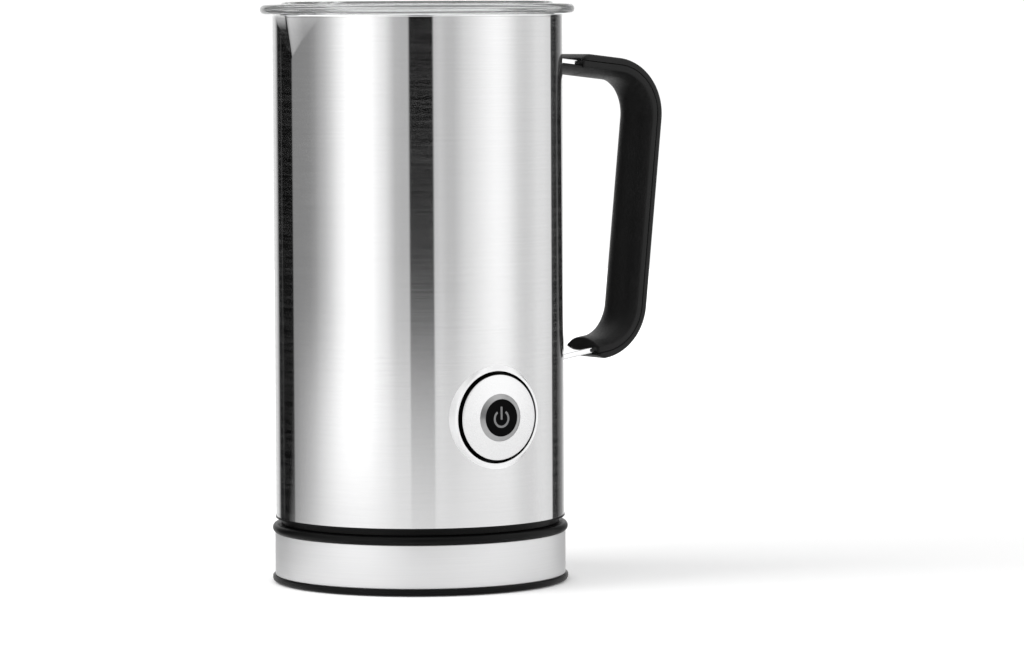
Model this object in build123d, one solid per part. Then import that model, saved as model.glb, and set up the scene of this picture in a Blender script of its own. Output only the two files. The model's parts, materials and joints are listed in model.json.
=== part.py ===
from build123d import *
import os
from math import atan2, cos, degrees, radians, sin

# Milk frother: a steel jug with a clear lid, a whisk and a handle, on a cordless power base.
# Z is the jug's axis and the table is at Z = 0. The handle is at +X, the pouring lip at -X,
# the button at -Y and the cord outlet at +Y. Sizes are in millimetres.

# power base
BASE_RADIUS = 50.2
BASE_GAP = 0.2
BASE_FLOOR_TOP = 2.45
BAND_RADIUS = 49.35
BAND_WALL = 0.6
BAND_TOP = 16.95
BASE_TOP = 19.9
TOP_BULGE = 50.15
BASE_PLATE = 2.0
FOOT_INNER = 40.0
FOOT_OUTER = 46.0
FOOT_TOP = 1.5
GLAND_Z = 9.5
GLAND_BORE = 3.6
GLAND_WALL = 1.2
GLAND_OUTER_Y = 52.0

# jug
JUG_RADIUS = 49.0
JUG_WALL = 0.8
JUG_BOTTOM = 22.5
JUG_TOP = 191.0
RIM_TOP = 191.8
POT_WALL = 0.6
POT_COLLAR = 48.1
POT_WELL = 39.1
POT_FLOOR = 76.0
POT_FLOOR_THICKNESS = 0.8
SHOULDER_BOTTOM = 166.0
SHOULDER_TOP = 174.0

# pouring lip
LIP_APEX_Z = 177.4
LIP_REACH = 2.3
LIP_HALF_ANGLE = 17.2
LIP_TOOL_TOP = 196.0

# lid
LID_RADIUS = 53.2
LID_BOTTOM = 192.0
LID_FLANGE_TOP = 195.3
LID_TOP = 196.2
LID_PLATEAU = 45.5
LID_DISH = 37.0
PLUG_RADIUS = 46.0
PLUG_BOTTOM = 184.0
PLUG_WALL = 1.8
SEAL_GROOVE = 1.6
SEAL_GROOVE_DEPTH = 0.8
SEAL_HEIGHT = 2.8
BAR_HALF = 3.2
SEAL_RADIUS = 47.35

# handle: corners of its outer face in the XZ plane, and the layers inward from that face
HANDLE_TOP_START = (46.0, 180.08)
HANDLE_TOP_CORNER = (96.04, 174.45)
HANDLE_LOW_CORNER = (85.74, 75.3)
HANDLE_LOW_END = (46.0, 69.05)
HANDLE_BEND = 19.5
GRIP_WIDTH = 20.0
GRIP_COVER = 2.4
GRIP_SIDE = 4.6
GRIP_BELLY = 7.6
GRIP_TOP_END = 61.1
GRIP_LOW_END = 67.1
GRIP_TAPER = 2.4
PAD_TOP_END = 51.0
STRAP_WIDTH = 14.0
STRAP_OUTER = 2.5
STRAP_INNER = 4.4

# button
BUTTON_Z = 58.6
BUTTON_RADIUS = 14.2
BUTTON_FACE = -49.3
BUTTON_PLATE = 0.8
BUTTON_HOLE = 15.3
LENS_RADIUS = 6.2
BEVEL_RADIUS = 8.0
BOARD_Y = -34.0

# cordless connector
PLUG_BOSS = 13.0
PLUG_BOSS_TOP = 30.6
SOCKET_RADIUS = 13.6
SOCKET_OUTER = 16.5
SOCKET_FLANGE = 22.0
SOCKET_ROOF = 31.2
SOCKET_TOP = 34.5
PIN_RADIUS = 2.0
RING_RADIUS = 8.0
CONTACT_TOP = 35.0

# drive
SHAFT_RADIUS = 1.0
SHAFT_CLEARANCE = 0.03
MOTOR_RADIUS = 14.0
MOTOR_BOTTOM = 38.0
MOTOR_TOP = 60.0
SPINDLE_RADIUS = 1.5
SPINDLE_TOP = 89.0
STUD_CIRCLE = 34.0
STUD_ANGLES = (90, 210, 330)
HEATER_INNER = 17.0
HEATER_OUTER = 30.4
HEATER_BOTTOM = 71.2
POT_UNDERSIDE = POT_FLOOR - POT_FLOOR_THICKNESS

# whisk
WHISK_RING = 18.0
WHISK_RING_Z = 81.5
WHISK_WIRE = 0.8
COIL_RADIUS = 2.6
COIL_WIRE = 0.4
COIL_TURNS = 36
HUB_RADIUS = 12.5

os.makedirs("parts", exist_ok=True)


def save(name, *solids):
    export_step(Compound(children=list(solids)), f"parts/{name}.step")


def outline(start, *steps):
    """Closed face in the XY plane; a step is a point, or a pair of points for an arc through the first."""
    here = start
    edges = []
    for step in steps:
        if isinstance(step[0], tuple):
            edges.append(ThreePointArc(here, step[0], step[1]))
            here = step[1]
        else:
            edges.append(Line(here, step))
            here = step
    edges.append(Line(here, start))
    return make_face(Curve() + edges)


def turned(start, *steps):
    """Solid of revolution about Z from an outline of (radius, height) points."""
    return revolve(Plane.XZ * outline(start, *steps), Axis.Z, 360)


def tube(inner, outer, bottom, top):
    return turned((inner, bottom), (outer, bottom), (outer, top), (inner, top))


def disc(radius, bottom, top, x=0.0, y=0.0):
    return Pos(x, y, (bottom + top) / 2) * Cylinder(radius, top - bottom)


def rod_y(radius, back, front, x=0.0, z=BUTTON_Z):
    """Cylinder along Y between two Y values."""
    return Pos(x, (back + front) / 2, z) * Rot(90, 0, 0) * Cylinder(radius, abs(front - back))


def block(low, high):
    size = [b - a for a, b in zip(low, high)]
    middle = [(a + b) / 2 for a, b in zip(low, high)]
    return Pos(*middle) * Box(*size)


def around(solid, angles):
    return [Rot(0, 0, angle) * solid for angle in angles]


def cut(solid, tools):
    for tool in tools:
        solid = solid - tool
    return solid


def lip_wedge(radius, top):
    """Triangular pouring lip that grows out of a wall of this radius up to a height."""
    share = (LIP_TOOL_TOP - LIP_APEX_Z) / (JUG_TOP - LIP_APEX_Z)
    half = radians(LIP_HALF_ANGLE) * share
    tip = (-radius - LIP_REACH * share, 0.0)
    left = (-radius * cos(half), -radius * sin(half))
    right = (-radius * cos(half), radius * sin(half))
    face = Pos(0, 0, LIP_TOOL_TOP) * outline(tip, left, right)
    wedge = loft([Vertex(-radius, 0, LIP_APEX_Z), face])
    return wedge & disc(radius + 2 * LIP_REACH, LIP_APEX_Z - 1, top)


# ---------------------------------------------------------------- power base

SCREW_CIRCLE = 33.0
SCREW_ANGLES = (30, 150, 270)
SCREW_SHANK = 1.25
SCREW_HEAD = 2.6
GLAND_OUTER = GLAND_BORE + GLAND_WALL
GLAND_HOLE = rod_y(GLAND_OUTER + 0.1, 40.0, 55.0, z=GLAND_Z)
BAND_INNER = BAND_RADIUS - BAND_WALL
SKIRT_OUTER = BAND_INNER - 0.3
SKIRT_INNER = SKIRT_OUTER - 1.4


def base_screw():
    head = disc(SCREW_HEAD, 1.0, 2.6, x=SCREW_CIRCLE)
    shank = disc(SCREW_SHANK, 2.6, 13.0, x=SCREW_CIRCLE)
    slot = Pos(SCREW_CIRCLE, 0, 1.0) * Box(0.8, 3.4, 1.4)
    cross = Pos(SCREW_CIRCLE, 0, 1.0) * Box(3.4, 0.8, 1.4)
    return head + shank - slot - cross


def base_bottom_cover():
    plate = turned(
        (0, BASE_GAP), (BASE_RADIUS - 1.0, BASE_GAP),
        ((BASE_RADIUS - 0.25, BASE_GAP + 0.4), (BASE_RADIUS, BASE_GAP + 1.2)),
        (BASE_RADIUS, BASE_FLOOR_TOP - 0.4), (BASE_RADIUS - 0.4, BASE_FLOOR_TOP), (0, BASE_FLOOR_TOP),
    )
    wall = tube(SKIRT_INNER, SKIRT_OUTER, BASE_FLOOR_TOP, 7.0)
    bosses = around(disc(4.0, BASE_FLOOR_TOP, 5.0, x=SCREW_CIRCLE), SCREW_ANGLES)
    groove = tube(FOOT_INNER, FOOT_OUTER, BASE_GAP, FOOT_TOP)
    sinks = around(disc(SCREW_HEAD + 0.2, BASE_GAP, 2.6, x=SCREW_CIRCLE), SCREW_ANGLES)
    holes = around(disc(SCREW_SHANK + 0.25, 2.0, 6.0, x=SCREW_CIRCLE), SCREW_ANGLES)
    body = plate + wall
    for boss in bosses:
        body = body + boss
    return cut(body, [groove, GLAND_HOLE] + sinks + holes)


def base_top_cover():
    rim = turned(
        (SKIRT_INNER, BASE_TOP - BASE_PLATE), (SKIRT_INNER, 12.0), (SKIRT_OUTER, 12.0),
        (SKIRT_OUTER, BAND_TOP), (BAND_RADIUS, BAND_TOP),
        ((TOP_BULGE, BAND_TOP + 1.45), (48.4, BASE_TOP)), (PLUG_BOSS + 0.2, BASE_TOP),
        (PLUG_BOSS + 0.2, BASE_TOP - BASE_PLATE),
    )
    for boss in around(disc(4.0, 5.0, BASE_TOP - BASE_PLATE, x=SCREW_CIRCLE), SCREW_ANGLES):
        rim = rim + boss
    pilots = around(disc(SCREW_SHANK, 4.0, 14.0, x=SCREW_CIRCLE), SCREW_ANGLES)
    return cut(rim, pilots + [GLAND_HOLE])


def base_connector():
    body = turned(
        (0, 9.0), (15.0, 9.0), (15.0, 12.0), (20.0, 12.0), (20.0, BASE_TOP - BASE_PLATE),
        (PLUG_BOSS, BASE_TOP - BASE_PLATE), (PLUG_BOSS, PLUG_BOSS_TOP - 1.0),
        (PLUG_BOSS - 1.0, PLUG_BOSS_TOP), (0, PLUG_BOSS_TOP),
    )
    well = disc(PIN_RADIUS + 1.3, 14.0, PLUG_BOSS_TOP)
    slot = tube(RING_RADIUS - 2.0, RING_RADIUS + 2.0, 17.0, PLUG_BOSS_TOP)
    return body - well - slot


def base_contact_rings():
    inner = tube(RING_RADIUS - 2.0, RING_RADIUS - 1.2, 17.0, 28.0)
    outer = tube(RING_RADIUS + 1.2, RING_RADIUS + 2.0, 17.0, 28.0)
    return [inner, outer]


def cord_gland():
    sleeve = rod_y(GLAND_OUTER, 43.0, GLAND_OUTER_Y, z=GLAND_Z)
    flange = rod_y(GLAND_OUTER + 1.6, BAND_RADIUS + 0.05, BAND_RADIUS + 1.6, z=GLAND_Z)
    collar = rod_y(GLAND_OUTER + 1.6, 44.0, 45.6, z=GLAND_Z)
    return sleeve + flange + collar - rod_y(GLAND_BORE, 42.0, 54.0, z=GLAND_Z)


save("base_bottom_cover", base_bottom_cover())
save("foot_ring", tube(FOOT_INNER + 0.2, FOOT_OUTER - 0.2, 0, FOOT_TOP))
save("base_band", tube(BAND_INNER, BAND_RADIUS, BASE_FLOOR_TOP, BAND_TOP) - GLAND_HOLE)
save("base_top_cover", base_top_cover())
save("base_connector", base_connector())
save("base_contact_rings", *base_contact_rings())
save("base_centre_contact", tube(PIN_RADIUS + 0.5, PIN_RADIUS + 1.3, 14.0, 29.0))
save("base_screws", *around(base_screw(), SCREW_ANGLES))
save("cord_gland", cord_gland())

# ---------------------------------------------------------------- jug shell, pot and underside

SHELL_INNER = JUG_RADIUS - JUG_WALL
COVER_SCREW_CIRCLE = 42.5
COVER_SCREW_ANGLES = (30, 150, 270)
COVER_BOTTOM = 21.9
COVER_FLOOR = 24.0
COVER_TOP = 29.0
COVER_FOOT_BOTTOM = 20.1
COVER_FOOT_INNER = 45.4
COVER_FOOT_OUTER = 47.2
CONNECTOR_HOLE = 15.0
TAB_Z = 31.0
HOUSING_STUD_X = 17.8


def jug_shell():
    outer = disc(JUG_RADIUS, JUG_BOTTOM, JUG_TOP) + lip_wedge(JUG_RADIUS, JUG_TOP)
    above = JUG_TOP + 4.0
    inner = disc(SHELL_INNER, JUG_BOTTOM - 1, above) + lip_wedge(SHELL_INNER, above)
    return outer - inner - rod_y(BUTTON_HOLE, -55.0, -40.0)


def jug_pot():
    well_inner = POT_WELL - POT_WALL
    collar_inner = POT_COLLAR - POT_WALL
    above = RIM_TOP + 4.0
    outside = turned(
        (0, POT_UNDERSIDE), (POT_WELL - 4.0, POT_UNDERSIDE),
        ((POT_WELL - 1.2, POT_UNDERSIDE + 1.2), (POT_WELL, POT_UNDERSIDE + 4.0)),
        (POT_WELL, SHOULDER_BOTTOM), (POT_COLLAR, SHOULDER_TOP), (POT_COLLAR, RIM_TOP), (0, RIM_TOP),
    )
    outside = outside + lip_wedge(POT_COLLAR, RIM_TOP)
    flange = disc(JUG_RADIUS + 0.1, JUG_TOP, RIM_TOP)
    flange_lip = lip_wedge(JUG_RADIUS + 0.1, RIM_TOP) & disc(60.0, JUG_TOP, RIM_TOP)
    hollow = turned(
        (0, POT_FLOOR), (well_inner - 3.4, POT_FLOOR),
        ((well_inner - 1.0, POT_FLOOR + 1.0), (well_inner, POT_FLOOR + 3.4)),
        (well_inner, SHOULDER_BOTTOM + 0.3), (collar_inner, SHOULDER_TOP + 0.3), (collar_inner, above),
        (0, above),
    )
    return outside + flange + flange_lip - hollow - lip_wedge(collar_inner, above)


def shell_tab():
    shelf = block((38.5, -4.0, TAB_Z), (SHELL_INNER + 1, 4.0, TAB_Z + 1.2))
    leg = block((SHELL_INNER - 1.4, -4.0, TAB_Z), (SHELL_INNER + 1, 4.0, TAB_Z + 7.0))
    hole = disc(SCREW_SHANK, TAB_Z - 1, TAB_Z + 3, x=COVER_SCREW_CIRCLE)
    return (shelf + leg - hole) & disc(SHELL_INNER, TAB_Z - 1, TAB_Z + 8)


def cover_screw():
    head = disc(SCREW_HEAD, 22.4, COVER_FLOOR, x=COVER_SCREW_CIRCLE)
    shank = disc(SCREW_SHANK, COVER_FLOOR, TAB_Z + 4, x=COVER_SCREW_CIRCLE)
    return head + shank - Pos(COVER_SCREW_CIRCLE, 0, 22.4) * Box(0.8, 3.4, 1.4)


def jug_base_cover():
    wall_outer = SHELL_INNER - 0.1
    wall_inner = wall_outer - 1.7
    body = turned(
        (CONNECTOR_HOLE, COVER_BOTTOM), (COVER_FOOT_INNER, COVER_BOTTOM),
        (COVER_FOOT_INNER, COVER_FOOT_BOTTOM), (COVER_FOOT_OUTER, COVER_FOOT_BOTTOM),
        (COVER_FOOT_OUTER, COVER_BOTTOM), (JUG_RADIUS + 0.1, COVER_BOTTOM), (JUG_RADIUS + 0.1, JUG_BOTTOM),
        (wall_outer, JUG_BOTTOM), (wall_outer, COVER_TOP), (wall_inner, COVER_TOP),
        (wall_inner, COVER_FLOOR), (CONNECTOR_HOLE, COVER_FLOOR),
    )
    bosses = around(disc(3.6, COVER_FLOOR, TAB_Z, x=COVER_SCREW_CIRCLE), COVER_SCREW_ANGLES)
    for boss in bosses:
        body = body + boss
    sinks = around(disc(SCREW_HEAD + 0.2, 21.0, COVER_FLOOR, x=COVER_SCREW_CIRCLE), COVER_SCREW_ANGLES)
    holes = around(disc(SCREW_SHANK + 0.25, 23.0, 32.0, x=COVER_SCREW_CIRCLE), COVER_SCREW_ANGLES)
    return cut(body, sinks + holes)


def jug_connector():
    body = turned(
        (SOCKET_RADIUS, COVER_BOTTOM), (CONNECTOR_HOLE, COVER_BOTTOM), (CONNECTOR_HOLE, COVER_FLOOR),
        (SOCKET_FLANGE, COVER_FLOOR), (SOCKET_FLANGE, COVER_FLOOR + 2.4), (SOCKET_OUTER, COVER_FLOOR + 2.4),
        (SOCKET_OUTER, SOCKET_TOP), (0, SOCKET_TOP), (0, SOCKET_ROOF), (SOCKET_RADIUS, SOCKET_ROOF),
    )
    pin_bore = disc(PIN_RADIUS + 0.05, 30.0, 36.0)
    return cut(body - pin_bore, [jug_ring_contact()])


def jug_ring_contact():
    ring = tube(RING_RADIUS - 0.4, RING_RADIUS + 0.4, 19.5, 33.0)
    for y in (-RING_RADIUS, RING_RADIUS):
        ring = ring + disc(0.9, 32.0, CONTACT_TOP, y=y)
    return ring


def jug_centre_contact():
    return turned((0, 18.5), (1.2, 18.5), (PIN_RADIUS, 19.6), (PIN_RADIUS, CONTACT_TOP), (0, CONTACT_TOP))


save("jug_shell", jug_shell())
save("jug_pot", jug_pot())
save("pot_spindle", disc(SPINDLE_RADIUS, POT_FLOOR, SPINDLE_TOP) + disc(3.0, POT_FLOOR, POT_FLOOR + 0.8))
save("shell_tabs", *around(shell_tab(), COVER_SCREW_ANGLES))
save("jug_base_cover", jug_base_cover())
save("base_cover_screws", *around(cover_screw(), COVER_SCREW_ANGLES))
save("jug_connector", jug_connector())
save("jug_ring_contact", jug_ring_contact())
save("jug_centre_contact", jug_centre_contact())

# ---------------------------------------------------------------- lid

SEAL_LOW = PLUG_BOTTOM + SEAL_GROOVE
SEAL_TOP = SEAL_LOW + SEAL_HEIGHT
SEAL_INNER = PLUG_RADIUS - SEAL_GROOVE_DEPTH


def lid_cover():
    edge = (LID_FLANGE_TOP - LID_BOTTOM) / 2
    flange = turned(
        (0, LID_BOTTOM), (LID_RADIUS - edge, LID_BOTTOM),
        ((LID_RADIUS, LID_BOTTOM + edge), (LID_RADIUS - edge, LID_FLANGE_TOP)),
        (LID_PLATEAU + 0.5, LID_FLANGE_TOP), (LID_PLATEAU, LID_TOP), (LID_DISH + 1.0, LID_TOP),
        (LID_DISH, LID_TOP - 1.0), (LID_DISH, LID_BOTTOM + 1.8), (0, LID_BOTTOM + 1.8),
    )
    wall = turned(
        (PLUG_RADIUS - PLUG_WALL, LID_BOTTOM), (PLUG_RADIUS - PLUG_WALL, PLUG_BOTTOM),
        (PLUG_RADIUS, PLUG_BOTTOM), (PLUG_RADIUS, SEAL_LOW), (SEAL_INNER, SEAL_LOW), (SEAL_INNER, SEAL_TOP),
        (PLUG_RADIUS, SEAL_TOP), (PLUG_RADIUS, LID_BOTTOM),
    )
    bar = block((-LID_DISH - 0.5, -BAR_HALF, LID_BOTTOM + 1.0), (LID_DISH + 0.5, BAR_HALF, LID_TOP))
    return flange + wall + bar


def lid_seal():
    root = PLUG_RADIUS + 0.2
    return turned(
        (SEAL_INNER, SEAL_LOW), (root, SEAL_LOW), (SEAL_RADIUS, SEAL_LOW + 0.5), (root, SEAL_LOW + 1.1),
        (root, SEAL_TOP - 1.1), (SEAL_RADIUS, SEAL_TOP - 0.6), (root, SEAL_TOP), (SEAL_INNER, SEAL_TOP),
    )


save("lid_cover", lid_cover())
save("lid_seal", lid_seal())

# ---------------------------------------------------------------- handle


def point_between(start, end, x):
    share = (x - start[0]) / (end[0] - start[0])
    return (x, start[1] + share * (end[1] - start[1]))


def handle_path(top_x, low_x):
    """Line of the handle's outer face, from an X on the top bar round to an X on the low bar."""
    start = point_between(HANDLE_TOP_START, HANDLE_TOP_CORNER, top_x)
    end = point_between(HANDLE_LOW_CORNER, HANDLE_LOW_END, low_x)
    corners = [start, HANDLE_TOP_CORNER, HANDLE_LOW_CORNER, end]
    return FilletPolyline([(x, 0, z) for x, z in corners], radius=HANDLE_BEND)


def along_handle(section, top_x, low_x):
    """Sweep a section, drawn with Y positive outward, along the handle."""
    path = handle_path(top_x, low_x)
    plane = Plane(origin=path @ 0, x_dir=(0, 1, 0), z_dir=path % 0)
    return sweep(plane * section, path=path)


def grip_cover_section():
    half = GRIP_WIDTH / 2
    round_off = 1.4
    corner = round_off * (1 - cos(radians(45)))
    return outline(
        (-half + 0.3, -GRIP_COVER), (-half, -GRIP_COVER + 0.3), (-half, -round_off),
        ((-half + corner, -corner), (-half + round_off, 0)), (half - round_off, 0),
        ((half - corner, -corner), (half, -round_off)), (half, -GRIP_COVER + 0.3),
        (half - 0.3, -GRIP_COVER),
    )


def grip_pad_section():
    half = GRIP_WIDTH / 2
    channel = STRAP_WIDTH / 2 + 0.05
    return outline(
        (-half + 0.3, -GRIP_COVER), (-half, -GRIP_COVER - 0.3), (-half, -GRIP_SIDE),
        ((0, -GRIP_BELLY), (half, -GRIP_SIDE)), (half, -GRIP_COVER - 0.3), (half - 0.3, -GRIP_COVER),
        (channel, -GRIP_COVER), (channel, -STRAP_INNER), (-channel, -STRAP_INNER), (-channel, -GRIP_COVER),
    )


def grip_tongue_section():
    half = GRIP_WIDTH / 2
    return outline((-half, -GRIP_SIDE), ((0, -GRIP_BELLY), (half, -GRIP_SIDE)))


def handle_grip_outer():
    """Cover whose outer face slopes down to the strap at both ends."""
    cover = along_handle(grip_cover_section(), GRIP_TOP_END, GRIP_LOW_END)
    path = handle_path(GRIP_TOP_END, GRIP_LOW_END)
    top_end = Plane(origin=path @ 0, x_dir=(0, 1, 0), z_dir=path % 0)
    low_end = Plane(origin=path @ 1, x_dir=(0, -1, 0), z_dir=(path % 1) * -1)
    slope = degrees(atan2(GRIP_COVER - 0.6, GRIP_TAPER))
    tool = Pos(0, 0.6 - GRIP_COVER, 0) * Rot(-slope, 0, 0) * Pos(0, 5, 0) * Box(30, 10, 20)
    return cut(cover, [top_end * tool, low_end * tool])


def handle_grip_inner():
    pad = along_handle(grip_pad_section(), GRIP_TOP_END, GRIP_LOW_END)
    path = handle_path(PAD_TOP_END, GRIP_LOW_END)
    plane = Plane(origin=path @ 0, x_dir=(0, 1, 0), z_dir=path % 0)
    tongue = extrude(plane * grip_tongue_section(), GRIP_TOP_END - PAD_TOP_END + 1.0)
    return pad + tongue


def handle_strap():
    half = STRAP_WIDTH / 2
    edge = 0.4
    section = outline(
        (-half, -STRAP_INNER + edge), (-half + edge, -STRAP_INNER), (half - edge, -STRAP_INNER),
        (half, -STRAP_INNER + edge), (half, -STRAP_OUTER - edge), (half - edge, -STRAP_OUTER),
        (-half + edge, -STRAP_OUTER), (-half, -STRAP_OUTER - edge),
    )
    strap = along_handle(section, HANDLE_TOP_START[0], HANDLE_LOW_END[0])
    return strap - disc(JUG_RADIUS, 60.0, 190.0)


save("handle_strap", handle_strap())
save("handle_grip_outer", handle_grip_outer())
save("handle_grip_inner", handle_grip_inner())

# ---------------------------------------------------------------- button and its electronics

PLATE_BACK = BUTTON_FACE + BUTTON_PLATE
CARRIER_BACK = -44.0
HOUSING_FRONT = -46.0
FLANGE_FRONT = -43.3
FLANGE_BACK = -41.3
WALL_BACK = -39.8
POST_X = 12.0
POST_RISE = 10.6
GUIDE_X = 4.4
LENS_BACK = -46.6
PLUNGER_FRONT = -38.9
SWITCH_FRONT = -37.5
BOARD_THICKNESS = 1.6
GUIDE_RADIUS = 1.4
HOUSING_BORE = 14.6
HOUSING_OUTER = 15.2
HOUSING_FLANGE = 20.0
HOUSING_WALL = 14.9


def posts():
    return [(x, BUTTON_Z + rise) for x in (-POST_X, POST_X) for rise in (-POST_RISE, POST_RISE)]


def button_plate():
    plate = rod_y(BUTTON_RADIUS, PLATE_BACK, BUTTON_FACE)
    bevel = Pos(0, (PLATE_BACK + BUTTON_FACE) / 2, BUTTON_Z) * Rot(90, 0, 0)
    return plate - bevel * Cone(LENS_RADIUS, BEVEL_RADIUS, BUTTON_PLATE)


def button_carrier():
    body = rod_y(BUTTON_RADIUS - 0.05, CARRIER_BACK, PLATE_BACK)
    stem = rod_y(2.4, PLUNGER_FRONT - 0.1, CARRIER_BACK)
    hollow = rod_y(BUTTON_RADIUS - 1.6, CARRIER_BACK, -46.4) - rod_y(7.4, CARRIER_BACK, -46.4)
    pocket = rod_y(LENS_RADIUS, LENS_BACK, PLATE_BACK)
    guides = [rod_y(GUIDE_RADIUS, CARRIER_BACK, LENS_BACK, x=x) for x in (-GUIDE_X, GUIDE_X)]
    return cut(body + stem - hollow, [pocket] + guides)


def light_guides():
    return [rod_y(GUIDE_RADIUS, -38.6, LENS_BACK, x=x) for x in (-GUIDE_X, GUIDE_X)]


def button_housing():
    sleeve = rod_y(HOUSING_OUTER, FLANGE_BACK, HOUSING_FRONT)
    flange = rod_y(HOUSING_FLANGE, FLANGE_BACK, FLANGE_FRONT)
    bore = rod_y(HOUSING_BORE, WALL_BACK - 1.5, HOUSING_FRONT - 1)
    body = sleeve + flange - bore + rod_y(HOUSING_WALL, WALL_BACK, FLANGE_BACK)
    for x, z in posts():
        body = body + rod_y(2.6, BOARD_Y, FLANGE_BACK, x=x, z=z)
    holes = [rod_y(2.8, -44.0, -38.0)]
    holes += [rod_y(1.8, -44.0, -38.0, x=x) for x in (-GUIDE_X, GUIDE_X)]
    holes += [rod_y(1.0, BOARD_Y - 5.0, BOARD_Y, x=x, z=z) for x, z in posts()]
    holes += [rod_y(1.3, -45.0, -38.0, x=x) for x in (-HOUSING_STUD_X, HOUSING_STUD_X)]
    return cut(body, holes)


def housing_stud(x):
    return rod_y(SCREW_SHANK, -38.6, -46.0, x=x) & disc(SHELL_INNER, 50.0, 70.0)


def housing_nut(x):
    hexagon = extrude(RegularPolygon(2.9, 6), 1.6)
    nut = Pos(x, FLANGE_BACK, BUTTON_Z) * Rot(-90, 0, 0) * hexagon
    return nut - rod_y(SCREW_SHANK, -38.0, -43.0, x=x)


def control_board():
    board = block((-15.0, BOARD_Y, 44.0), (15.0, BOARD_Y + BOARD_THICKNESS, 71.0))
    return cut(board, [rod_y(1.1, -36.0, -30.0, x=x, z=z) for x, z in posts()])


def board_screws():
    screws = []
    back = BOARD_Y + BOARD_THICKNESS
    for x, z in posts():
        screws.append(rod_y(1.0, BOARD_Y - 4.5, back, x=x, z=z) + rod_y(2.0, back, back + 1.3, x=x, z=z))
    return screws


def board_components():
    back = BOARD_Y + BOARD_THICKNESS
    relay = block((-8.5, back, 47.0), (3.5, back + 5.0, 55.0))
    capacitor = rod_y(2.5, back, back + 4.0, x=8.0, z=51.0)
    chip = block((-6.0, back, 59.0), (1.0, back + 1.4, 65.0))
    terminal = block((4.5, back, 59.0), (11.5, back + 3.6, 63.5))
    return [relay, capacitor, chip, terminal]


def button_switch():
    case = block((-3.0, SWITCH_FRONT, BUTTON_Z - 3.0), (3.0, BOARD_Y, BUTTON_Z + 3.0))
    return case - rod_y(1.75, SWITCH_FRONT - 1.0, BOARD_Y - 0.4)


def status_leds():
    front = BOARD_Y - 1.6
    return [block((x - 0.9, front, BUTTON_Z - 1.0), (x + 0.9, BOARD_Y, BUTTON_Z + 1.0))
            for x in (-GUIDE_X, GUIDE_X)]


save("button_plate", button_plate())
save("button_lens", rod_y(LENS_RADIUS, LENS_BACK, PLATE_BACK))
save("button_carrier", button_carrier())
save("light_guides", *light_guides())
save("button_housing", button_housing())
save("housing_studs", *[housing_stud(x) for x in (-HOUSING_STUD_X, HOUSING_STUD_X)])
save("housing_nuts", *[housing_nut(x) for x in (-HOUSING_STUD_X, HOUSING_STUD_X)])
save("control_board", control_board())
save("board_screws", *board_screws())
save("board_components", *board_components())
save("button_switch", button_switch())
save("switch_plunger", rod_y(1.7, PLUNGER_FRONT, BOARD_Y - 1.6))
save("status_leds", *status_leds())

# ---------------------------------------------------------------- heater

ELEMENT_RING = 24.0
ELEMENT_RADIUS = 2.8
ELEMENT_HALF_GAP = 50
PIN_END = 1.2
SENSOR_X = -34.5


def heater_element():
    centre_z = HEATER_BOTTOM - ELEMENT_RADIUS
    end_x = ELEMENT_RING * cos(radians(ELEMENT_HALF_GAP))
    end_y = ELEMENT_RING * sin(radians(ELEMENT_HALF_GAP))
    section = Circle(ELEMENT_RADIUS)
    plane = Plane(origin=(ELEMENT_RING, 0, 0), x_dir=(1, 0, 0), z_dir=(0, 1, 0))
    ring = revolve(plane * section, Axis.Z, 360 - 2 * ELEMENT_HALF_GAP)
    element = Pos(0, 0, centre_z) * Rot(0, 0, ELEMENT_HALF_GAP) * ring
    for side in (-1, 1):
        element = element + disc(PIN_END, centre_z - 8.0, centre_z, x=end_x, y=side * end_y)
    return element


def thermostat(x):
    body = disc(5.4, HEATER_BOTTOM - 4.4, HEATER_BOTTOM, x=x)
    neck = disc(3.4, HEATER_BOTTOM - 7.0, HEATER_BOTTOM - 4.4, x=x)
    return body + neck


def temperature_sensor():
    cup = disc(2.4, POT_UNDERSIDE - 6.0, POT_UNDERSIDE, x=SENSOR_X)
    flange = disc(3.4, POT_UNDERSIDE - 6.0, POT_UNDERSIDE - 5.0, x=SENSOR_X)
    return cup + flange


save("heater_plate", tube(HEATER_INNER, HEATER_OUTER, HEATER_BOTTOM, POT_UNDERSIDE))
save("heater_element", heater_element())
save("thermostat", thermostat(ELEMENT_RING))
save("temperature_sensor", temperature_sensor())

# ---------------------------------------------------------------- motor

CAN_WALL = 1.2
CAP_BOTTOM = MOTOR_BOTTOM - 2.4
CAP_TOP = MOTOR_BOTTOM + 1.6
BRACKET_THICKNESS = 1.4
CARRIER_BOTTOM = 65.4
CARRIER_TOP = 74.2
CARRIER_RADIUS = 15.6
BUSH_RADIUS = 3.0
MAGNET_RADIUS = 2.6
MAGNET_CIRCLE = 8.6
MAGNET_ANGLES = (45, 135, 225, 315)
STUD_RADIUS = 2.0
NUT_RADIUS = 3.6
MOTOR_SCREW_X = 8.5
MOTOR_SCREW_SHANK = 1.0
MOTOR_SCREW_HEAD = 1.9
DAMPER_RADIUS = 5.2
DAMPER_NECK = 4.0


def motor_can():
    body = turned(
        (BUSH_RADIUS, MOTOR_TOP), (MOTOR_RADIUS - 0.8, MOTOR_TOP), (MOTOR_RADIUS, MOTOR_TOP - 0.8),
        (MOTOR_RADIUS, MOTOR_BOTTOM), (MOTOR_RADIUS - CAN_WALL, MOTOR_BOTTOM),
        (MOTOR_RADIUS - CAN_WALL, MOTOR_TOP - CAN_WALL), (BUSH_RADIUS, MOTOR_TOP - CAN_WALL),
    )
    holes = around(disc(MOTOR_SCREW_SHANK, MOTOR_TOP - 3, MOTOR_TOP + 1, x=MOTOR_SCREW_X), (0, 180))
    return cut(body, holes)


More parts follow.
